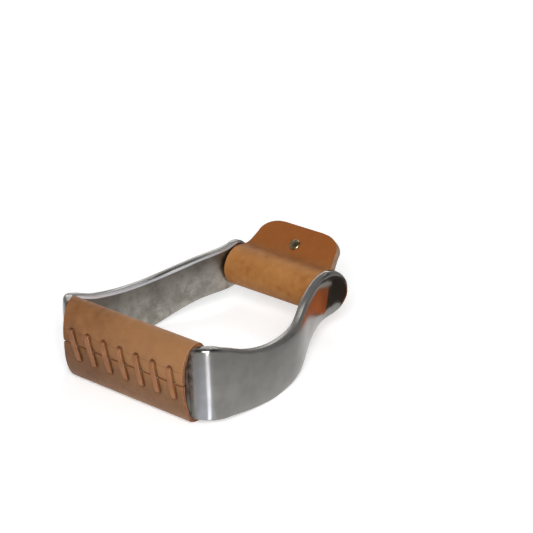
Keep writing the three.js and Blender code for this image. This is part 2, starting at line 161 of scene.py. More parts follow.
def add_node(kind, settings=None, **inputs):
    """A node with its settings and its inputs, in the same tree as the outputs that feed it."""
    fed_by = next(value for value in inputs.values() if isinstance(value, bpy.types.NodeSocket))
    node = fed_by.id_data.nodes.new("ShaderNode" + kind)
    for name, value in (settings or {}).items():
        setattr(node, name, value)
    set_inputs(node, **inputs)
    return node


def maths(operation, first, second=0, third=0):
    """One sum of two or three values."""
    return add_node("Math", {"operation": operation}, at_0=first, at_1=second, at_2=third).outputs[0]


def times(product, *others):
    """Values multiplied together."""
    for value in others:
        product = maths("MULTIPLY", product, value)
    return product


def times_plus(first, second, third):
    """One value multiplied by another, and a third one added."""
    return maths("MULTIPLY_ADD", first, second, third)


def ranged(value, low, high, to_low=0, to_high=1):
    """A value moved smoothly from one range to another."""
    return add_node("MapRange", {"interpolation_type": "SMOOTHSTEP"}, Value=value, From_Min=low,
                    From_Max=high, To_Min=to_low, To_Max=to_high).outputs[0]


def mixed(factor, first, second):
    """Two colours mixed by a factor."""
    return add_node("Mix", {"data_type": "RGBA"}, at_0=factor, at_6=first, at_7=second).outputs[2]


def painted(colour, *coats):
    """A colour with coats of other colours over it, each with a mask that says where it lies."""
    for mask, coat in coats:
        colour = mixed(mask, colour, coat)
    return colour


def blended(factor, first, second):
    """Two values mixed by a factor."""
    return add_node("Mix", at_0=factor, at_2=first, at_3=second).outputs[0]


def part_of(vector, axis):
    """One part of a vector: 0 is x, 1 is y and 2 is z."""
    return add_node("SeparateXYZ", Vector=vector).outputs[axis]


def bumped(height, depth):
    """A surface's direction, tilted by a pattern of height that is some metres deep."""
    return add_node("Bump", Height=height, Distance=depth, Strength=1).outputs[0]


def noise(vector, scale, detail=3, roughness=0.5):
    """A cloudy pattern between 0 and 1; the scale counts its clouds in a metre."""
    return add_node("TexNoise", Vector=vector, Scale=scale, Detail=detail, Roughness=roughness).outputs[0]


print("helpers ready")

# %% [markdown]
# The grain is made of round pores and of thin creases, both pulled about by a slower pattern. The
# dye mixes three colours by clouds of three sizes.

# %% The hide's grain and the uneven dye
grain, grain_in, grain_out = new_group(
    "leather_grain", [("Vector", "Vector"), ("Pores per metre", "Float"), ("Creases", "Float")],
    [("Height", "Float"), ("Pore mask", "Float")])
wander = add_node("TexNoise", Vector=grain_in["Vector"], Scale=260, Detail=2)
wander_reach = 1.6 * mm
bent = add_node("VectorMath", {"operation": "MULTIPLY_ADD"},
                at_0=wander.outputs[1], at_1=3 * (wander_reach,), at_2=grain_in["Vector"])
pores = add_node("TexVoronoi", {"feature": "SMOOTH_F1"}, Vector=bent.outputs[0],
                 Scale=grain_in["Pores per metre"], Smoothness=0.35)
pore_mask = ranged(pores.outputs[0], 0.12, 0.5)
fine = noise(grain_in["Vector"], 2600, 4, 0.62)
creases = add_node("TexVoronoi", {"feature": "DISTANCE_TO_EDGE"}, Vector=bent.outputs[0], Scale=430)
crease_lines = ranged(creases.outputs[0], 0, 0.09)
height = times_plus(pore_mask, -0.55, 0.5)
height = times_plus(fine, 0.5, height)
height = times_plus(times(crease_lines, grain_in["Creases"]), 0.6, height)
grain.links.new(height, grain_out["Height"])
grain.links.new(pore_mask, grain_out["Pore mask"])

dye, dye_in, dye_out = new_group(
    "uneven_dye", [("Vector", "Vector"), ("Pale", "Color"), ("Middle", "Color"), ("Deep", "Color"),
                   ("Amount", "Float")], [("Color", "Color"), ("Cloud", "Float")])
broad = noise(dye_in["Vector"], 42, 3, 0.55)
patches = noise(dye_in["Vector"], 170, 4, 0.62)
specks = noise(dye_in["Vector"], 1000, 3, 0.7)
cloud = times_plus(patches, 0.36, times(broad, 0.5))
cloud = times_plus(specks, 0.14, cloud)
lean = times(ranged(cloud, 0.48, 0.66), dye_in["Amount"])
deep = times(ranged(cloud, 0.5, 0.36), dye_in["Amount"])
colour = painted(dye_in["Middle"], (lean, dye_in["Pale"]), (deep, dye_in["Deep"]))
dye.links.new(colour, dye_out["Color"])
dye.links.new(cloud, dye_out["Cloud"])
print("groups:", [group.name for group in (grain, dye)])

# %% [markdown]
# ## The leather's finish
# Vegetable-tanned leather is warm and slightly uneven on its grain side, paler and fuzzy on its
# flesh side, and pale with a dark burnished line where it is cut. The cover and the wrap carry two
# masks on their faces, one for the cut edge and one for the flesh side, and the material reads
# them, so one recipe serves every leather piece with its own three dyes.

# %% Leather recipe


def new_material(name):
    """An empty material, its Principled shader and its Object coordinates."""
    material = bpy.data.materials.new(name)
    material.use_nodes = True
    nodes = material.node_tree.nodes
    shader = next(node for node in nodes if node.type == "BSDF_PRINCIPLED")
    return material, shader, nodes.new("ShaderNodeTexCoord").outputs["Object"]


def face_mask(where, name):
    """A mask that the mesh carries, read in the same tree as its coordinates."""
    node = where.id_data.nodes.new("ShaderNodeAttribute")
    node.attribute_name = name
    return node.outputs["Fac"]


def use_group(group, **inputs):
    """A node group placed in a material, with its own values."""
    return add_node("Group", {"node_tree": group}, **inputs).outputs


brown_edges = ((92, 50, 30), (158, 106, 68))
pale_edges = ((122, 92, 70), (188, 162, 138))
pore_depth, thong_pore_depth = 0.12 * mm, 0.08 * mm


def leather(name, pale, middle, deep, pores_per_metre=1500, relief=pore_depth, marks=None,
            dullness=0.68, edges=brown_edges):
    """A leather with its own dyes. The marks add their own colour, painted shade and relief to the grain
    side.
    """
    material, shader, where = new_material(name)
    dyed = use_group(dye, Vector=where, Pale=pale, Middle=middle, Deep=deep, Amount=0.7)
    grained = use_group(grain, Vector=where, Pores_per_metre=pores_per_metre, Creases=0.7)
    colour = mixed(times(grained["Pore mask"], 0.16), dyed["Color"], deep)
    height = grained["Height"]
    if marks:
        colour, height = marks(where, colour, height)
    flesh_side = face_mask(where, "flesh_side")
    fibres = noise(where, 1500, 5, 0.75)
    flesh_colour = mixed(fibres, (120, 96, 78), (188, 158, 132))
    layers = noise(where, 2200, 3, 0.6)
    edge_colour = mixed(ranged(layers, 0.35, 0.65), *edges)
    colour = painted(colour, (flesh_side, flesh_colour), (face_mask(where, "cut_edge"), edge_colour))
    rough = times_plus(flesh_side, 0.2, times_plus(dyed["Cloud"], -0.3, dullness))
    set_inputs(shader, Base_Color=colour, Roughness=rough, Normal=bumped(height, relief),
               Specular_IOR_Level=0.28)
    return material


print("leather recipe ready")

# %% [markdown]
# ## The casting
# The casting is poured in one piece: a plate inside the tread, two flat arms that bow out and
# then sweep in to round heads, and an oval bar between the heads. Each arm is skinned over rings,
# because its width, its bow and its thickness all change along it. The rings are round-edged
# rectangles set square to the arm's outer line, close enough together that the polish is smooth.

# %% The arm's outer line and its edges


def oval(centre, radii, start, end, steps):
    """Points round part of an oval, its angles in quarter turns."""
    angles = [quarter_turn * (start + (end - start) * i / steps) for i in range(steps + 1)]
    return [Vector((centre[0] + radii[0] * cos(angle), centre[1] + radii[1] * sin(angle)))
            for angle in angles]


def curve(t, start, first, second, end):
    """A point or a value on the way from a start to an end, led by two others."""
    return (start * (1 - t) ** 3 + first * 3 * t * (1 - t) ** 2
            + second * 3 * t * t * (1 - t) + end * t ** 3)


def smooth_line(corners, steps):
    """A smooth line through points, its bends spread by the distances between them."""
    ends = [2 * corners[0] - corners[1], *corners, 2 * corners[-1] - corners[-2]]
    line = []
    for before, start, end, after in zip(ends, ends[1:], ends[2:], ends[3:]):
        gaps = [max((b - a).length, 1e-9) ** 0.5 for a, b in ((before, start), (start, end), (end, after))]
        leaving = (start - before) / gaps[0] - (end - before) / (gaps[0] + gaps[1]) + (end - start) / gaps[1]
        arriving = (end - start) / gaps[1] - (after - start) / (gaps[1] + gaps[2]) + (after - end) / gaps[2]
        first, second = start + leaving * gaps[1] / 3, end - arriving * gaps[1] / 3
        line += [curve(step / steps, start, first, second, end) for step in range(steps)]
    return [*line, corners[-1]]


def spaced(line, count):
    """The same line with its points evenly spaced."""
    lengths = [0]
    for a, b in zip(line, line[1:]):
        lengths.append(lengths[-1] + (b - a).length)
    points, at = [], 0
    for i in range(count):
        wanted = lengths[-1] * i / (count - 1)
        while at < len(line) - 2 and lengths[at + 1] < wanted:
            at += 1
        share = (wanted - lengths[at]) / (lengths[at + 1] - lengths[at])
        points.append(line[at].lerp(line[at + 1], share))
    return points


def heading(line, index, reach):
    """The way a line runs at one of its points, measured over some points to each side."""
    return (line[min(index + reach, len(line) - 1)] - line[max(index - reach, 0)]).normalized()


def read_table(rows, at):
    """A smooth value between rows of a place and its value."""
    last = len(rows) - 1
    row = 0
    while row < last - 1 and at > rows[row + 1][0]:
        row += 1

    def slope(i):
        before, after = rows[max(i - 1, 0)], rows[min(i + 1, last)]
        return (after[1] - before[1]) / (after[0] - before[0])

    (start, first), (end, second) = rows[row], rows[row + 1]
    span = end - start
    t = min(max((at - start) / span, 0), 1)
    return curve(t, first, first + slope(row) * span / 3, second - slope(row + 1) * span / 3, second)


outline_shares = [(0.28, 1), (0.42, 0.96), (0.57, 0.77), (0.715, 0.345), (0.85, 0.02), (0.905, 0),
                  (1, 0.09)]
side_shares = [(0, 0.1, 0.955), (0.042, 0.088, 0.96), (0.085, 0.074, 0.96), (0.145, 0.063, 0.903),
               (0.258, 0.027, 0.763), (0.404, 0, 0.678), (0.56, 0.05, 0.682), (0.732, 0.243, 0.797)]
bend_centre = (corner_centre_x, corner_lift + corner_radius)
bend_corners = oval(bend_centre, (corner_radius, corner_radius), 3, 4, 8)
sweep_corners = [Vector((neck_half + (tread_half - neck_half) * out, up * casting_rise))
                 for up, out in outline_shares]
outer_line = spaced(smooth_line([*bend_corners, *sweep_corners], 40), 1400)
edge_rows = [(up * casting_rise, low * cover_depth, high * cover_depth) for up, low, high in side_shares]
edge_rows.append((head_centre_rise, head_height - head_radius, head_height + head_radius))
lower_rows = [(up, low) for up, low, high in edge_rows]
upper_rows = [(up, high) for up, low, high in edge_rows]
corner_thickness = 6.9
thickness_rows = [(0, corner_thickness), (corner_lift + corner_radius, corner_thickness),
                  (casting_rise / 3, arm_thickness), (casting_rise, arm_thickness)]
print("outer line reaches", [round(value, 1) for value in outer_line[-1]], "mm")

# %% [markdown]
# Each ring reads its width and its thickness from the tables above. Over the head, the rings
# follow a circle and come closer together, and they thin out at the top as the edge rounds off.

# %% Rings round the arm
edge_radius = 2
arm_crown = 1
largest_edge_share = 0.82
edge_steps, face_steps = 7, 24
arm_steps, head_steps = 96, 24


def arm_ring(index, low, high, full, here):
    """A round-edged rectangle square to the outer line, its outer face crowned."""
    along = heading(outer_line, index, 6)
    out = Vector((along.y, -along.x))
    half, depth = here / 2, (high - low) / 2
    radius = min(edge_radius, half * largest_edge_share, depth * largest_edge_share)
    spots = []
    for corner, (side, end) in enumerate(((1, 1), (-1, 1), (-1, -1), (1, -1))):
        middle = (side * (half - radius), end * (depth - radius))
        spots += oval(middle, (radius, radius), corner, corner + 1, edge_steps)
        if corner % 2:
            for i in range(1, face_steps):
                sweep = 1 - 2 * i / face_steps
                spots.append((side * half, -side * sweep * (depth - radius)))
    ring = []
    for outward, up in spots:
        crown = arm_crown * (1 - (up / depth) ** 4) * here / full if outward > 0 else 0
        flat = outer_line[index] + out * (outward + crown - full / 2)
        ring.append(place(flat.x, flat.y, (low + high) / 2 + up))
    return ring


def index_at_rise(rise):
    """Where the outer line passes a given rise."""
    return next((i for i, point in enumerate(outer_line) if point.y >= rise), len(outer_line) - 1)


head_start = index_at_rise(head_centre_rise)
arm_rings = []
for i in range(arm_steps + 1):
    index = round(head_start * i / arm_steps)
    rise = outer_line[index].y
    thickness = read_table(thickness_rows, rise)
    arm_rings.append(arm_ring(index, read_table(lower_rows, rise), read_table(upper_rows, rise),
                              thickness, thickness))
for i in range(1, head_steps + 1):
    angle = radians(88) * (1 - (1 - i / head_steps) ** 1.5)
    rise = head_centre_rise + head_radius * sin(angle)
    reach = head_radius * cos(angle)
    to_top = min(casting_rise - rise, edge_radius)
    rounding = edge_radius - sqrt(edge_radius ** 2 - (edge_radius - to_top) ** 2)
    arm_rings.append(arm_ring(index_at_rise(rise), head_height - reach, head_height + reach,
                              arm_thickness, arm_thickness - 2 * rounding))
print(len(arm_rings), "rings of", len(arm_rings[0]), "points")

# %% [markdown]
# The plate inside the tread and the neck bar are skinned in the same way and joined to the arms.
# Then the room that the cover needs is cut away, with a little air all round.

# %% Skin the rings, and make the plate and the neck bar


def skin(bm, rings):
    """Rings of points bridged into a closed skin."""
    loops = []
    for ring in rings:
        corners = [bm.verts.new(point) for point in ring]
        loops.append([bm.edges.new(pair) for pair in zip(corners, corners[1:] + corners[:1])])
    for first, second in zip(loops, loops[1:]):
        bmesh.ops.bridge_loops(bm, edges=first + second)
    for end in (loops[0], loops[-1]):
        bmesh.ops.edgeloop_fill(bm, edges=end)
    bmesh.ops.recalc_face_normals(bm, faces=bm.faces)


def new_masks(parts, *names):
    """New masks on a mesh's vertices or faces, which a material can read by name."""
    return [parts.layers.float.new(name) for name in names]


def flat_grid(columns, rows, half_size=1):
    """A flat grid to bend."""
    bm = bmesh.new()
    bmesh.ops.create_grid(bm, x_segments=columns, y_segments=rows, size=half_size)
    return bm


def finish_mesh(bm, name, sharp_degrees=40):
    """The bmesh as a smooth-shaded object at the origin."""
    mesh = bpy.data.meshes.new(name)
    bm.to_mesh(mesh)
    bm.free()
    mesh.shade_smooth()
    mesh.set_sharp_from_angle(angle=radians(sharp_degrees))
    return add_object(name, mesh)


wide_bend, tight_bend, bend_rise = 23, 7, 13
past_bend_under, past_bend_top = 4, 8.5
slant_margin = 2
half_length_under = corner_centre_x + past_bend_under
half_length_top = corner_centre_x + past_bend_top


def cover_outline(inset):
    """The cover's outline from the seam down round the floor side and back to the seam."""
    under = inset - cover_drop
    middle = bend_rise - cover_drop
    wide_radii = (bend_rise - inset, wide_bend - inset)
    tight_radii = (cover_thickness - bend_rise - inset, tight_bend - inset)
    return [Vector((under, seam_height)),
            *oval((middle, wide_bend), wide_radii, 2, 3, 24),
            *oval((middle, tight_bend), tight_radii, 3, 4, 12),
            *oval((middle, cover_depth - tight_bend), tight_radii, 0, 1, 12),
            *oval((middle, cover_depth - wide_bend), wide_radii, 1, 2, 24),
            Vector((under, seam_height))]


def half_length(rise):
    """How far the cover reaches to each side at a rise: its ends slant with the bends."""
    share = (rise + cover_drop + slant_margin) / (cover_thickness + cover_drop + 2 * slant_margin)
    return half_length_under + (half_length_top - half_length_under) * share


def slanted(outline, clearance):
    """Two rings of an outline that end on the cover's slanting ends."""
    return [[place(side * (half_length(point.x) + clearance), point.x, point.y) for point in outline]
            for side in (-1, 1)]


def solid(name, rings_list):
    """A temporary closed body."""
    bm = bmesh.new()
    for rings in rings_list:
        skin(bm, rings)
    return finish_mesh(bm, name)


def combine(base, other, operation):
    """One body added to another, cut from it or kept where both are, as a new mesh in the first."""
    step = base.modifiers.new("combine", "BOOLEAN")
    step.operation, step.object, step.solver = operation, other, "EXACT"
    graph = bpy.context.evaluated_depsgraph_get()
    joined = bpy.data.meshes.new_from_object(base.evaluated_get(graph))
    base.modifiers.clear()
    base.data = joined


mirrored_rings = [[Vector((-point.x, point.y, point.z)) for point in ring] for ring in arm_rings]
arms = solid("arms", [arm_rings, mirrored_rings])
core_inset = cover_leather + fit_gap
spare, core_short, core_spare_length = 0.5, 0.6, 12
room_low, room_top, room_far = -3, 21, 60
room_corners = ((room_low, room_low), (room_top, room_low), (room_top, room_far), (room_low, room_far))
cover_room = solid("cover_room", [slanted([Vector(corner) for corner in room_corners], fit_gap)])
core = solid("core", [slanted(cover_outline(core_inset - spare)[1:-1], -core_short)])
long_core = solid("long_core", [slanted(cover_outline(core_inset)[1:-1], core_spare_length)])
bar_radius, bar_straight = 7.5, 3.5
bar_outline = [*oval((head_centre_rise, head_height + bar_straight), (bar_radius, bar_radius), 0, 2, 32),
               *oval((head_centre_rise, head_height - bar_straight), (bar_radius, bar_radius), 2, 4, 32)]
bar_end = neck_half - arm_thickness / 2
bar_rings = [[place(x, point.x, point.y) for point in bar_outline] for x in (-bar_end, bar_end)]
bar = solid("bar", [bar_rings])
combine(cover_room, long_core, "DIFFERENCE")
combine(arms, core, "UNION")
combine(arms, bar, "UNION")
combine(arms, cover_room, "DIFFERENCE")
for part in (cover_room, core, long_core, bar):
    bpy.data.objects.remove(part)
casting = arms
casting.name = "polished_casting"
print("casting:", len(casting.data.polygons), "faces")

# %% [markdown]
# A buffing wheel can't reach inside the arms or up to the cover. The mesh carries that as masks on
# its vertices, and the material reads them. The strip beside the cover and the share of the way up
# each arm's side also tell the material where to paint shade and highlights.

# %% Shade the casting, and mark the faces left as they were cast
bm = bmesh.new()
bm.from_mesh(casting.data)
weld = 0.002
bmesh.ops.remove_doubles(bm, verts=bm.verts, dist=weld * mm)
print("open edges:", sum(1 for edge in bm.edges if len(edge.link_faces) != 2))
inner_layer, strip_layer, upper_layer = new_masks(bm.verts, "inner_face", "unbuffed_shaded_strip",
                                                  "toward_upper_edge")
opening = place(0, casting_rise / 2, 0)
inner_from, inner_span = 0.1, 0.35
strip_width, strip_height = 2.9, cover_thickness / 2
for vert in bm.verts:
    inward = Vector((opening.x - vert.co.x, opening.y - vert.co.y, 0)).normalized()
    facing = vert.normal.dot(inward)
    vert[inner_layer] = min(max((facing - inner_from) / inner_span, 0), 1)
    rise = vert.co.y / mm + rise_at_origin
    low, high = read_table(lower_rows, rise), read_table(upper_rows, rise)
    vert[upper_layer] = (vert.co.z / mm - low) / (high - low)
    past_cover = abs(vert.co.x) / mm - half_length(rise)
    vert[strip_layer] = min(max(strip_width - past_cover, 0), 1) if rise < strip_height else 0
bm.to_mesh(casting.data)
bm.free()
casting.data.shade_smooth()
casting.data.set_sharp_from_angle(angle=radians(32))
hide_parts("cast_frame")
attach(casting, "stirrup")
print("casting box:", [round(value / mm, 1) for value in (*casting.bound_box[0], *casting.bound_box[6])])

# %% [markdown]
# ## The aluminium's finish
# The outer faces are buffed: nearly smooth, with faint polishing lines and a slight waviness that
# bends the reflections. Toward the heads they are buffed to a mirror. The inner faces are only
# tumbled, so they stay satin and blotchy. The masks that the mesh carries mix the finishes, and a
# few small pits show where gas left the metal. The colours also carry painted light: painted shade
# toward the upper edges, near the tread and on the strip beside the cover, painted light toward the
# lower edges of the buffed faces, and a painted highlight along the inner upper edge.

# %% The aluminium's colours
aluminium, shader, where = new_material("buffed_cast_aluminium")
inner = face_mask(where, "inner_face")
strip = face_mask(where, "unbuffed_shaded_strip")
toward_edge = face_mask(where, "toward_upper_edge")
along_arm, above_floor = part_of(where, 1), part_of(where, 2)
blotches = noise(where, 75, 4, 0.6)
stains = noise(where, 210, 5, 0.68)

# Painted shade: the inner faces are darkened in blotches toward the tread.
tread_shade_from, tread_shade_full = -10 * mm, -65 * mm
near_tread = ranged(along_arm, tread_shade_from, tread_shade_full)
shade_near_tread = times(near_tread, ranged(blotches, 0.25, 0.6, 0.35, 0.75))
# The inner faces' colour holds real blotches and stains, the painted shade near the tread, and a painted
# shade that darkens them toward their upper edge.
cast_colour = painted(
    mixed(ranged(blotches, 0.34, 0.66), (138, 135, 127), (178, 175, 168)),
    (ranged(stains, 0.52, 0.7, 0, 0.42), (112, 102, 90)), (shade_near_tread, (92, 82, 70)),
    (ranged(toward_edge, 0.25, 0.95, 0, 0.7), (84, 78, 72)))
# The buffed faces' colour holds a painted shade toward their upper edge and painted light toward their lower
# edge.
buffed_colour = painted(
    mixed(ranged(blotches, 0.3, 0.7), (114, 113, 110), (127, 125, 121)),
    (ranged(toward_edge, 0.35, 0.9, 0, 0.5), (92, 90, 88)),
    (ranged(toward_edge, 0.35, 0, 0, 0.3), (152, 151, 148)))

# Beside the cover the unbuffed strip is painted dark as shade and dark reflection, with a paler grey spot
# low down.
spot_low, spot_low_full, spot_high_full, spot_high = 4 * mm, 8 * mm, 17 * mm, 21 * mm
pale_spot = times(ranged(above_floor, spot_low, spot_low_full),
                  ranged(above_floor, spot_high, spot_high_full), ranged(stains, 0.36, 0.5))
strip_shade_colour = mixed(ranged(stains, 0.35, 0.65), (78, 68, 61), (116, 105, 97))
strip_shade_colour = painted(strip_shade_colour, (pale_spot, (114, 114, 108)))

# A painted highlight: a bright line along the upper edge of the inner faces.
edge_highlight = times(ranged(toward_edge, 0.925, 0.95), ranged(toward_edge, 1, 0.975), ranged(inner, 0.05, 0.5))
pits = add_node("TexVoronoi", Vector=where, Scale=95)
pit_mask = times(ranged(pits.outputs[0], 0.028, 0.012), ranged(part_of(pits.outputs[1], 0), 0.93, 0.94))
metal_colour = painted(buffed_colour, (inner, cast_colour), (edge_highlight, (226, 226, 230)),
                       (strip, strip_shade_colour), (pit_mask, (60, 58, 56)))
print("colours mixed for", aluminium.name)

# %% [markdown]
# The roughness follows the same masks, and the relief adds the casting's fine skin, the waves of
# the buffing wheel and the pits. Polishing lines stretch a reflection across them, which is what
# the shader's anisotropic sockets do.

# %% The aluminium's polish and relief
mirror_from, mirror_full = 10 * mm, 50 * mm
line_waves = (90, 90, 1400)
skin_depth = 0.2 * mm
polish_lines = noise(add_node("Mapping", Vector=where, Scale=line_waves).outputs[0], 1, 3, 0.6)
buffed_rough = times(times_plus(polish_lines, 0.12, 0.16),
                     ranged(along_arm, mirror_from, mirror_full, 1, 0.5))
cast_rough = times_plus(stains, 0.22, 0.27)
rough = times_plus(strip, 0.3, blended(inner, buffed_rough, cast_rough))

relief = times(noise(where, 700, 3, 0.55), times_plus(inner, 0.22, 0.012))
relief = times_plus(noise(where, 55, 1, 0.4), 0.5, relief)
relief = times_plus(polish_lines, 0.02, relief)
relief = times_plus(pit_mask, -1, relief)
set_inputs(shader, Base_Color=metal_colour, Roughness=rough, Normal=bumped(relief, skin_depth),
           Metallic=1, Anisotropic=0.8, Anisotropic_Rotation=0.25)
casting.data.materials.clear()
casting.data.materials.append(aluminium)
print("aluminium on", casting.name)

# %% [markdown]
# ## The tread cover
# The cover is one rectangle of thick leather, wrapped wet round the plate until its long edges
# meet underneath. It starts here as a flat grid: its points are moved to their places on the
# outline, and then the sheet is given its thickness. Bending a grid keeps the faces even, so the
# leather can take a dent wherever a stitch pulls on it.

# %% The path of the lacing over the cover
stitch_count = 7
stitch_reach = 8.5
first_slant, last_slant = 6.2, 3.4
lace_width = 4.3
lace_thickness = 1.5
lace_sink = 0.3
stitch_margin = 7.15
last_x = half_length_under - stitch_margin
first_x = -last_x
cover_line = spaced(cover_outline(0), 2400)
cover_girth = sum((b - a).length for a, b in zip(cover_line, cover_line[1:]))


def on_cover(x, above_seam, sunk):
    """A point on the cover, a distance along the leather from the seam, sunk into it by a depth."""
    share = 1 - above_seam / cover_girth if above_seam > 0 else -above_seam / cover_girth
    index = min(int(share * (len(cover_line) - 1)), len(cover_line) - 2)
    along = (cover_line[index + 1] - cover_line[index]).normalized()
    spot = cover_line[index].lerp(cover_line[index + 1], share * (len(cover_line) - 1) - index)
    return place(x, spot.x - along.y * sunk, spot.y + along.x * sunk)


stitches = []
for stitch in range(stitch_count):
    along = stitch / (stitch_count - 1)
    upper_x = first_x + (last_x - last_slant - first_x) * along
    lower_x = first_x + first_slant + (last_x - first_x - first_slant) * along
    stitches.append(((upper_x, stitch_reach), (lower_x, -stitch_reach)))
print(stitch_count, "stitches,", round(stitches[1][0][0] - stitches[0][0][0], 2), "mm apart")

# %% [markdown]
# Each stitch pulls the leather in over its whole length, and most at its two holes. The same sums
# mark the holes and the grooves beside the thong, where the leather sinks and takes a painted
# shadow, and the vertices keep that for the material.

# %% Bend a flat sheet round the plate
seam_gap = 0.6
around, across = 190, 150
hand_trim, trim_height = 4.5, 12
dent_depth, dent_reach = 0.5, 2.6
groove_shade, groove_away, groove_width = 0.62, 0.1, 0.75
hole_wide, hole_tall, hole_beyond, hole_depth = 2.2, 1.3, 1.5, 0.5
curl_depth, curl_reach = 0.5, 1.2
scored_above, scored_width = 0.4, 0.5
under_from, under_to, under_fade, under_end_fade = -1, -24, 2.5, 3
cover_edge_wear = 0.45


def bell(away, width):
    """1 in the middle, falling smoothly to 0 some widths away."""
    return exp(-(away / width) ** 2)


def slope_up(along, middle, fade):
    """A smooth step from 0 to 1 where a length passes its middle."""
    return 1 / (1 + exp((middle - along) / fade))


def dent(x, above_seam):
    """How deep the stitches pull the leather in, and a mask for their holes and grooves, which sinks them
    and carries a painted shadow.
    """
    depth = hole_and_shadow = 0
    for (top_x, top), (low_x, low) in stitches:
        t = min(max((top - above_seam) / (top - low), 0), 1)
        side = abs(x - (top_x + (low_x - top_x) * t))
        beyond = max(abs(above_seam) - stitch_reach, 0)
        away = hypot(side, beyond)
        depth = max(depth, dent_depth * bell(away, dent_reach))
        hole_and_shadow = max(hole_and_shadow, groove_shade * bell(away - lace_width / 2 - groove_away, groove_width))
        for hole_x, hole_at in ((top_x, top), (low_x, low)):
            past_hole = above_seam - hole_at - copysign(hole_beyond, hole_at)
            hole_and_shadow = max(hole_and_shadow, bell(hypot((x - hole_x) / hole_wide, past_hole / hole_tall), 1))
    return depth, hole_and_shadow


bm = flat_grid(across, around)
hole_and_shadow_layer, scored_layer, under_layer = new_masks(bm.verts, "stitch_hole_and_shadow", "scored_line", "underside")
edge_layer, flesh_layer = new_masks(bm.faces, "cut_edge", "flesh_side")
half_around = cover_girth / 2 - seam_gap / 2
near_seam = []
for vert in bm.verts:
    from_seam = vert.co.y * half_around
    above_seam = copysign(cover_girth / 2 - abs(from_seam), from_seam)
    flat = on_cover(0, above_seam, 0)
    rise = flat.y / mm + rise_at_origin
    reach = half_length(rise)
    if vert.co.x > 0:
        reach -= hand_trim * max(1 - flat.z / mm / trim_height, 0) ** 1.5
    x = vert.co.x * reach
    depth, hole_and_shadow = dent(x, above_seam) if abs(above_seam) < 2 * stitch_reach else (0, 0)
    sunk = depth + hole_depth * hole_and_shadow + curl_depth * bell(above_seam, curl_reach)
    near_seam.append((vert, on_cover(x, above_seam, sunk) - on_cover(x, above_seam, 0)))
    vert[hole_and_shadow_layer] = hole_and_shadow
    vert[scored_layer] = bell(above_seam - stitch_reach - scored_above, scored_width)
    # The underside mask, where the tread leather is painted with shade.
    vert[under_layer] = (slope_up(-above_seam, -under_from, under_fade)
                         * slope_up(above_seam, under_to, under_end_fade))
    vert.co = on_cover(x, above_seam, 0)
outer_faces = list(bm.faces)
bmesh.ops.recalc_face_normals(bm, faces=outer_faces)
middle_of_cover = place(0, cover_thickness / 2, cover_depth / 2)
sample = outer_faces[len(outer_faces) // 2]
if sample.normal.dot(sample.calc_center_median() - middle_of_cover) < 0:
    bmesh.ops.reverse_faces(bm, faces=outer_faces)
bmesh.ops.solidify(bm, geom=outer_faces, thickness=cover_leather * mm)
print("cover:", len(bm.faces), "faces")

# %% [markdown]
# The grain side is pulled in at the stitches only now, so the sheet keeps an even thickness
# where it was made thick. The faces that closed its rim are the cut edge, and the ones that
# lie against the metal are the flesh side.

# %% Pull the grain side in at the stitches, and mark the edges and the flesh side
leather_angle = 50
rim_share = 0.8


def mark_sheet(bm, grain_faces, leather, edge_layer, flesh_layer):
    """Mark the faces of a thick sheet that are its cut edge, and those on its flesh side."""
    for face in bm.faces:
        if face not in grain_faces:
            is_rim = max(edge.calc_length() for edge in face.edges) > rim_share * leather * mm
            face[edge_layer] = 1 if is_rim else 0
            face[flesh_layer] = 0 if is_rim else 1


def wear_edges(piece, width):
    """Round a piece's sharp edges a little."""
    rounding = piece.modifiers.new("worn_edges", "BEVEL")
    rounding.width = width * mm
    rounding.segments = 3
    rounding.limit_method = "ANGLE"
    rounding.angle_limit = radians(leather_angle)


for vert, pull in near_seam:
    vert.co += pull
mark_sheet(bm, set(outer_faces), cover_leather, edge_layer, flesh_layer)
cover = finish_mesh(bm, "laced_tread_cover", leather_angle)
wear_edges(cover, cover_edge_wear)
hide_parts("tread_cover")
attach(cover, "stirrup")
rims = sum(1 for face in cover.data.attributes["cut_edge"].data if face.value > 0)
print("cover has", rims, "rim faces")

# %% [markdown]
# ## The lace
# One flat thong does all the sewing. It slants over the seam, dives through a slit, crosses back
# under the leather and comes up at the next stitch. Its line is set out as the maker would pull
# it through, and a round-edged section is carried along that line, its width kept across x.

# %% The thong's line
over_sunk = lace_sink - lace_thickness / 2
under_sunk = cover_leather - lace_thickness / 2
turn_radius = (under_sunk - over_sunk) / 2
run_steps, turn_steps = 12, 10
tail, arch_height = 5, 0.3
narrow_share, spread_share = 0.86, 0.2
stops = [Vector((first_x - tail, 0)), *[Vector(hole_and_shadow) for pair in stitches for hole_and_shadow in pair],
         Vector((last_x + tail, 0))]
thong_line, thong_swell, thong_depth = [], [], []


def lay(at, sunk, arched=0):
    """Lay the thong through one more point. In the middle of a stitch it arches up and spreads."""
    thong_line.append(on_cover(at.x, at.y, sunk - arch_height * arched))
    thong_depth.append(sunk)
    thong_swell.append(narrow_share + spread_share * arched)


for run, (start, end) in enumerate(zip(stops, stops[1:])):
    is_over = run % 2 == 1
    sunk = over_sunk if is_over else under_sunk
    for i in range(run_steps + 1):
        lay(start.lerp(end, i / run_steps), sunk, sin(pi * i / run_steps) if is_over else 0)
    if run + 2 >= len(stops):
        break
    back, ahead = (start - end).normalized(), (stops[run + 2] - end).normalized()
    for i in range(1, turn_steps):
        angle = pi * i / turn_steps
        inward = back.lerp(ahead, i / turn_steps).normalized()
        deeper = turn_radius * (1 - cos(angle))
        lay(end - inward * turn_radius * sin(angle), sunk + deeper if is_over else sunk - deeper)
print("thong:", round(sum((b - a).length for a, b in zip(thong_line, thong_line[1:])) / mm), "mm long")

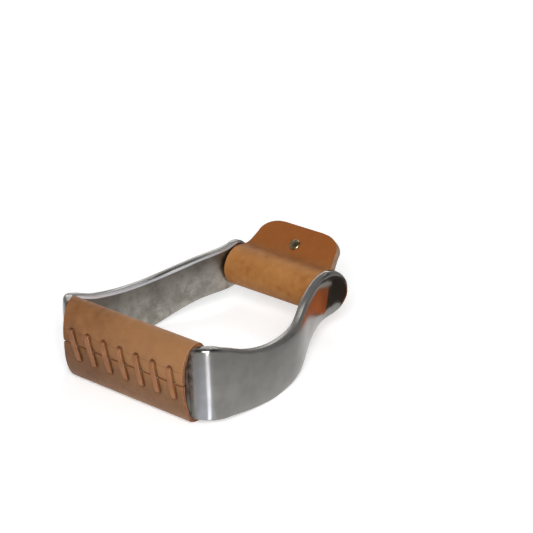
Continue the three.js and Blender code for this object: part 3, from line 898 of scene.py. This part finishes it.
# %% [markdown]
# The section is an oval pushed out toward a rectangle, so the thong is flat with rounded edges.
# Its vertices carry a mask of painted shade along its two edges and where it dives.

# %% Carry the flat section along the line
thong_sides = 20
edge_power, face_power = 0.65, 0.85
rim_strength, rim_power = 0.6, 3
dive_depth = 0.8


def pushed_out(value, power):
    """A sine or cosine moved toward 1 or -1."""
    return copysign(abs(value) ** power, value)


thong_rings = []
for i, point in enumerate(thong_line):
    along = heading(thong_line, i, 1)
    wide = Vector((1, 0, 0))
    wide = (wide - along * wide.dot(along)).normalized()
    thick = along.cross(wide)
    half, reach = lace_width / 2 * thong_swell[i], lace_thickness / 2
    ring = []
    for step in range(thong_sides):
        angle = full_turn * step / thong_sides
        over = pushed_out(cos(angle), edge_power) * half
        through = pushed_out(sin(angle), face_power) * reach
        ring.append(point + (wide * over + thick * through) * mm)
    thong_rings.append(ring)
bm = bmesh.new()
skin(bm, thong_rings)
[rim_shade_layer] = new_masks(bm.verts, "thong_rim_shade")
for i, vert in enumerate(bm.verts):
    angle = full_turn * (i % thong_sides) / thong_sides
    diving = max(thong_depth[i // thong_sides] - over_sunk, 0) / dive_depth
    vert[rim_shade_layer] = max(rim_strength * abs(cos(angle)) ** rim_power, min(diving, 1))
thong = finish_mesh(bm, "lacing_thong", 60)
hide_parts("tread_lace")
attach(thong, "stirrup")
print("thong:", len(thong.data.polygons), "faces")

# %% [markdown]
# ## The neck wrap
# A second piece of leather goes round the neck bar, and its two flaps are riveted face to face.
# It keeps the bar from wearing the strap that the stirrup hangs by. It is bent from a flat grid
# as the cover was, this time along the middle line of its own section.

# %% The wrap's section and outline
wrap_leather = 2.4
wrap_reach = 38.7
wrap_side_gap, flap_narrower = 1.3, 3.2
wrap_half = neck_half - arm_thickness - wrap_side_gap
flap_half = wrap_half - flap_narrower
wrap_corner_reach, wrap_corner_rise = 17, 12
wrap_inner_radius = 11.35
wrap_radius = wrap_inner_radius + wrap_leather / 2
wrap_outer_radius = wrap_inner_radius + wrap_leather
flap_offset = (wrap_leather + fit_gap) / 2
rivet_reach, rivet_head_radius = 24.9, 4
leave_degrees, flap_lift_degrees = 40, 40
leave = radians(leave_degrees)
leaving_share, meeting_share = 0.55, 0.65
strap_steps, strap_columns = 240, 110


def side_curve(side, steps):
    """The leather from where it leaves the bar to where the flaps meet."""
    start = Vector((side * wrap_radius * cos(leave), wrap_radius * sin(leave)))
    end = Vector((side * flap_offset, rivet_reach - rivet_head_radius))
    first = start + Vector((-side * sin(leave), cos(leave))) * wrap_radius * leaving_share
    second = end - Vector((0, wrap_radius * meeting_share))
    return [curve(i / steps, start, first, second, end) for i in range(steps + 1)]


round_bar = oval((0, 0), (wrap_radius, wrap_radius), leave_degrees / 90,
                 -2 - leave_degrees / 90, 60)
wrap_line = spaced([Vector((flap_offset, wrap_reach)), *reversed(side_curve(1, 30)), *round_bar[1:-1],
                    *side_curve(-1, 30), Vector((-flap_offset, wrap_reach))], strap_steps + 1)


def wrap_half_width(reach):
    """How wide the strap is on each side of its middle, by how far out it lies."""
    shoulder = wrap_reach - wrap_corner_rise
    if reach <= wrap_outer_radius:
        return wrap_half
    if reach <= shoulder:
        share = (reach - wrap_outer_radius) / (shoulder - wrap_outer_radius)
        return wrap_half + (flap_half - wrap_half) * share
    over = min((reach - shoulder) / wrap_corner_rise, 1)
    return flap_half - wrap_corner_reach * (1 - sqrt(max(1 - over ** 2, 0)))


lift = Matrix.Rotation(radians(flap_lift_degrees), 4, "X")
to_neck = Matrix.Translation(neck_bar) @ lift
print("wrap:", len(wrap_line), "steps round the bar")

# %% [markdown]
# The rivet's hole goes in while the strap is still a thin sheet: the points inside it are deleted,
# and the ones round it are moved out to a true circle.

# %% Bend a flat strap round the bar, with the rivet's hole in both flaps
flap_from, flap_fade = 13.5, 2.6
hole_radius = 2.4 * mm
hole_catch_share = 1.6
wrap_edge_wear = 0.4
bm = flat_grid(strap_columns, strap_steps)
edge_layer, flesh_layer = new_masks(bm.faces, "cut_edge", "flesh_side")
[flap_layer] = new_masks(bm.verts, "flap")
for vert in bm.verts:
    share = (vert.co.y + 1) / 2
    spot = wrap_line[min(round(share * strap_steps), strap_steps)]
    vert[flap_layer] = slope_up(spot.y, flap_from, flap_fade)
    vert.co = Vector((vert.co.x * wrap_half_width(spot.y), spot.y, -spot.x)) * mm
rivet_spot = Vector((0, rivet_reach * mm, 0))


def from_rivet(co):
    """The step from the rivet's middle line out to a point."""
    return Vector((co.x - rivet_spot.x, co.y - rivet_spot.y, 0))


inside = [vert for vert in bm.verts if from_rivet(vert.co).length < hole_radius and vert.co.y > 0]
bmesh.ops.delete(bm, geom=inside, context="VERTS")
for edge in bm.edges:
    if edge.is_boundary:
        for vert in edge.verts:
            away = from_rivet(vert.co)
            if away.length < hole_catch_share * hole_radius:
                vert.co.x, vert.co.y = (rivet_spot + away.normalized() * hole_radius).xy
strap_faces = list(bm.faces)
bmesh.ops.recalc_face_normals(bm, faces=strap_faces)
low_face = min(strap_faces, key=lambda face: face.calc_center_median().y)
if low_face.normal.y > 0:
    bmesh.ops.reverse_faces(bm, faces=strap_faces)
for vert in bm.verts:
    vert.co += vert.normal * wrap_leather / 2 * mm
bmesh.ops.solidify(bm, geom=strap_faces, thickness=wrap_leather * mm)
mark_sheet(bm, set(strap_faces), wrap_leather, edge_layer, flesh_layer)
bmesh.ops.transform(bm, matrix=to_neck, verts=bm.verts)
wrap = finish_mesh(bm, "riveted_neck_wrap", leather_angle)
wear_edges(wrap, wrap_edge_wear)
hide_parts("neck_wrap")
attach(wrap, "wrap")
print("wrap:", len(wrap.data.polygons), "faces")

# %% [markdown]
# ## The rivet
# The rivet is two pressed pieces: a post with a thin shank, and a cap whose tube swallows the
# shank when the two are hammered together. Both are round, so each is half an outline spun about
# the rivet's middle line, with enough steps that the dome has no flats.

# %% Spin the rivet's two halves
flap_face = flap_offset + wrap_leather / 2
head_base = flap_face + fit_gap
head_rise = 1.3
tube_radius, shank_radius = 2.1, 1.2
bore_radius = shank_radius + fit_gap
dome_steps, spin_steps = 14, 64
spin_weld = 0.001 * mm


def spun(name, outline, faces_up):
    """An outline of radius and height, spun about the rivet's middle line and set at the neck."""
    bm = bmesh.new()
    corners = [bm.verts.new(Vector((radius, 0, height)) * mm) for radius, height in outline]
    edges = [bm.edges.new(pair) for pair in zip(corners, corners[1:])]
    bmesh.ops.spin(bm, geom=corners + edges, cent=(0, 0, 0), axis=(0, 0, 1), dvec=(0, 0, 0),
                   angle=full_turn, steps=spin_steps, use_merge=True)
    bmesh.ops.remove_doubles(bm, verts=bm.verts, dist=spin_weld)
    if not faces_up:
        bmesh.ops.scale(bm, vec=(1, 1, -1), verts=bm.verts)
    bmesh.ops.recalc_face_normals(bm, faces=bm.faces)
    bmesh.ops.translate(bm, vec=rivet_spot, verts=bm.verts)
    bmesh.ops.transform(bm, matrix=to_neck, verts=bm.verts)
    return finish_mesh(bm, name)


dome = oval((0, head_base), (rivet_head_radius, head_rise), 0, 1, dome_steps)
tube_end = fit_gap - head_base
post = spun("rivet_post_head", [(0, tube_end), (shank_radius, tube_end), (shank_radius, head_base), *dome],
            False)
cap = spun("rivet_cap_head", [(0, head_base), (bore_radius, head_base), (bore_radius, tube_end),
                              (tube_radius, tube_end), (tube_radius, head_base), *dome], True)
for half, node in ((post, "rivet_post"), (cap, "rivet_cap")):
    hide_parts(node)
    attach(half, "wrap")
print("rivet faces:", len(post.data.polygons), len(cap.data.polygons))

# %% [markdown]
# The nickel is dull and yellowish with handling. One pattern of smudges sets both its colour and
# its polish.

# %% Nickel finish
scratch_depth = 0.02 * mm
nickel, shader, where = new_material("worn_nickel")
smudge = noise(where, 600, 4, 0.6)
nickel_colour = mixed(ranged(smudge, 0.4, 0.7), (136, 122, 94), (84, 72, 52))
set_inputs(shader, Base_Color=nickel_colour, Roughness=times_plus(smudge, 0.25, 0.2),
           Normal=bumped(noise(where, 1500), scratch_depth), Metallic=1)
for half in (post, cap):
    half.data.materials.append(nickel)
print("nickel on", post.name, "and", cap.name)

# %% [markdown]
# The three leathers share the recipe. Each adds marks of its own, from the masks that its mesh
# carries: painted shade on the underside of the cover and painted shadow at its holes, a darker
# tone and a painted shade in the crease on the wrap's flaps, and painted shade along the thong's edges.

# %% The three leathers
lit_end_from, lit_end_full = -60 * mm, 30 * mm


def stitch_marks_and_shade(where, colour, height):
    """Painted shade on the underside, painted shadow at the holes and the grooves beside the thong, painted
    light toward plus x, and a pricked line along the upper row.
    """
    hole_and_shadow = face_mask(where, "stitch_hole_and_shadow")
    scored = face_mask(where, "scored_line")
    underside = face_mask(where, "underside")
    # Painted light: the grain side is painted paler toward plus x, less on the underside.
    painted_light_near_end = times(times_plus(underside, -0.7, 1),
                   ranged(part_of(where, 0), lit_end_from, lit_end_full, 0, 0.6))
    colour = painted(colour, (times(underside, 0.6), (88, 56, 30)), (painted_light_near_end, (168, 121, 78)),
                     (ranged(scored, 0.2, 1, 0, 0.35), (96, 58, 34)),
                     (ranged(hole_and_shadow, 0.25, 0.85), (58, 28, 15)))
    return colour, times_plus(scored, -0.8, times_plus(hole_and_shadow, -2, height))


def flap_tone_and_shade(where, colour, height):
    """The flaps are painted darker than the roll, and a painted shade lies in the crease beside the roll."""
    flap = face_mask(where, "flap")
    clouds = ranged(noise(where, 90), 0.35, 0.65, 0.8, 2.4)
    crease_shade = times(flap, maths("SUBTRACT", 1, flap), clouds)
    return painted(colour, (times(flap, 0.8), (136, 68, 4)), (crease_shade, (118, 70, 22))), height


def rim_shade_marks(where, colour, height):
    """Painted shade along the thong's two edges and where it dives under the cover."""
    return mixed(times(face_mask(where, "thong_rim_shade"), 0.75), colour, (84, 46, 25)), height


tread_leather = leather("tread_leather", (157, 108, 64), (133, 87, 47), (104, 63, 31), marks=stitch_marks_and_shade)
flap_leather = leather("wrap_leather", (190, 134, 72), (174, 116, 57), (152, 92, 38),
                       marks=flap_tone_and_shade, dullness=0.78, edges=pale_edges)
thong_leather = leather("thong_leather", (174, 118, 72), (150, 96, 54), (114, 68, 36),
                        2400, thong_pore_depth, rim_shade_marks, 0.5)
for piece, finish in ((cover, tread_leather), (wrap, flap_leather), (thong, thong_leather)):
    piece.data.materials.append(finish)
print("leathers on", cover.name, wrap.name, thong.name)

# %% [markdown]
# ## The floor and the light
# The stirrup lies on a white sweep. The floor keeps a soft shadow, and the world behind it is
# white where the camera or a reflection looks at it. Polished metal shows only what stands round
# it, so overhead the world is darker: that is what draws the dark lines along the bright edges.

# %% Floor
floor_half = 4000 * mm
floor_gap = 0.05 * mm
paper_level, white = 233.65, (255, 255, 255)
near_floor, far_floor = 150 * mm, 600 * mm
bm = flat_grid(1, 1, floor_half)
bmesh.ops.translate(bm, vec=(0, 0, -floor_gap), verts=bm.verts)
floor = finish_mesh(bm, "floor")
paper, shader, where = new_material("white_paper")
rays = paper.node_tree.nodes.new("ShaderNodeLightPath").outputs
seen = maths("MAXIMUM", rays["Is Camera Ray"], rays["Is Glossy Ray"])
seen = maths("MAXIMUM", seen, rays["Is Transmission Ray"])
from_middle = add_node("VectorMath", {"operation": "LENGTH"}, at_0=where).outputs[1]
far_off = times(ranged(from_middle, near_floor, far_floor), rays["Is Camera Ray"])
glow = times_plus(far_off, 0.58, times(seen, 0.42))
set_inputs(shader, Base_Color=3 * (paper_level,), Roughness=0.9, Specular_IOR_Level=0,
           Emission_Color=white, Emission_Strength=glow)
floor.data.materials.append(paper)
print("floor:", floor.name)

# %% [markdown]
# Polished metal needs something to reflect. These cards lie on the floor where the near head and
# the near corner mirror them, and nothing else sees them. Three brown and pale ones colour the
# head, and three bright ones make the band along the corner.

# %% Cards that only reflections see
card_rows = [
    # name, colour, centre, length, width, turned by degrees, narrow end's share, glow
    ("dark_card", (88, 74, 64), (90, 190, 1), 280, 200, 0, 1, 0),
    ("tan_card", (196, 106, 54), (62.1, 118.8, 2), 61.6, 66, 50, 0.5, 0.72),
    ("pale_card", (226, 226, 222), (91.7, 162.1, 2.5), 43, 92, 50, 1, 0.6),
    ("corner_card", (236, 240, 255), (108, -118, 1), 120, 24, -40.5, 0.1, 4),
    ("corner_halo", (236, 240, 255), (98, -127, 0.7), 120, 80, -47, 0.1, 0.95),
    ("corner_haze", (242, 243, 250), (85.6, -134.4, 0.4), 120, 168, -67, 0.1, 0.6)]
for name, colour, centre, length, width, turned, narrow_share, glow in card_rows:
    bm = flat_grid(1, 1)
    for vert in bm.verts:
        taper = narrow_share if vert.co.x < 0 else 1
        vert.co = Vector((vert.co.x * length, vert.co.y * width * taper, 0)) * mm / 2
    bmesh.ops.rotate(bm, matrix=Matrix.Rotation(radians(turned), 3, "Z"), verts=bm.verts)
    bmesh.ops.translate(bm, vec=Vector(centre) * mm, verts=bm.verts)
    sheet = finish_mesh(bm, name)
    paint, shader, where = new_material(name)
    set_inputs(shader, Base_Color=colour, Roughness=1, Emission_Color=colour, Emission_Strength=glow)
    sheet.data.materials.append(paint)
    for rays in ("camera", "diffuse", "shadow", "transmission"):
        setattr(sheet, "visible_" + rays, False)
print(len(card_rows), "cards")

# %% [markdown]
# The world is one level of white for the light it gives, another for what reflects it, and full
# white for the camera. Of the four soft boxes, two light the stirrup, and two only show in it.

# %% World and lamps
world = bpy.data.worlds.new("studio")
scene.world = world
world.use_nodes = True
tree = world.node_tree
tree.nodes.clear()
direction = tree.nodes.new("ShaderNodeTexCoord").outputs["Generated"]
to_front = add_node("VectorMath", {"operation": "DOT_PRODUCT"},
                    at_0=direction, at_1=(0.67, -0.74, 0)).outputs[1]
overhead = ranged(to_front, -0.55, 0.05, 0.72, 0.05)
reflected = blended(ranged(part_of(direction, 2), 0.42, 0.7), 0.68, overhead)
rays = tree.nodes.new("ShaderNodeLightPath").outputs
seen = maths("MAXIMUM", rays["Is Camera Ray"], rays["Is Transmission Ray"])
level = blended(seen, blended(rays["Is Glossy Ray"], 0.32, reflected), 1)
background = add_node("Background", Color=white, Strength=level)
tree.links.new(background.outputs[0], tree.nodes.new("ShaderNodeOutputWorld").inputs[0])

aim = Vector((0, 0, 30 * mm))
lamp_rows = [
    # name, place, width, height, watts, whether it lights surfaces that don't reflect
    ("front_box", (850, -900, 850), 500, 500, 17, True),
    ("top_box", (-300, 600, 1200), 500, 250, 2, True),
    ("corner_strip", (690, -620, 220), 55, 420, 10, False),
    ("back_box", (-900, 1000, 620), 900, 400, 3, False)]
for name, at, width, height, watts, is_light in lamp_rows:
    data = bpy.data.lights.new(name, "AREA")
    data.shape = "RECTANGLE"
    data.size, data.size_y, data.energy = width * mm, height * mm, watts
    box = add_object(name, data)
    box.location = Vector(at) * mm
    box.rotation_mode = "QUATERNION"
    box.rotation_quaternion = (aim - box.location).to_track_quat("-Z", "Y")
    box.visible_camera = False
    box.visible_diffuse = is_light
scene.view_settings.view_transform = "Standard"
print(len(lamp_rows), "lamps")
